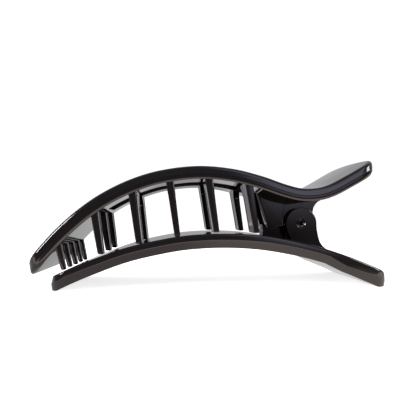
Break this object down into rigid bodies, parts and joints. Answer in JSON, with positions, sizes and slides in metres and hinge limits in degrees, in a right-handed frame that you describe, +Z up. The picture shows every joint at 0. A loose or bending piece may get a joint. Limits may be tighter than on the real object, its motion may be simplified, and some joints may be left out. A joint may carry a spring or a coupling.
{
  "type": "hair clip",
  "caption": "Long beak-type claw hair clip: an S-curved toothed upper arm with a thumb tab, hinged on an arched lower arm with a steel spring.",
  "frame": {"origin": "centre of the clip's outline on the surface that it stands on, under the middle of the closed clip", "axes": "+X along the clip from the tip of the jaws to the thumb tab, +Y across it, +Z up"},
  "size_m": [0.1248, 0.041, 0.0463],
  "materials": {
    "upper_plastic": "high gloss black",
    "lower_plastic": "high gloss black",
    "pin_steel": "drawn wire",
    "spring_steel": "drawn wire"
  },
  "bodies": {
    "lower": {"lower_arm": "lower_plastic", "hinge_pin": "pin_steel", "spring": "spring_steel"},
    "upper": {"upper_arm": "upper_plastic"}
  },
  "joints": [
    {"name": "jaw_hinge", "type": "hinge", "parent": "lower", "child": "upper", "pos_m": [0.0345, 0, 0.0224], "axis": [0, 1, 0], "range_deg": [0, 55], "stiffness_Nm_per_rad": 0.15, "springref_deg": -40.11, "deforming": ["spring"]}
  ]
}
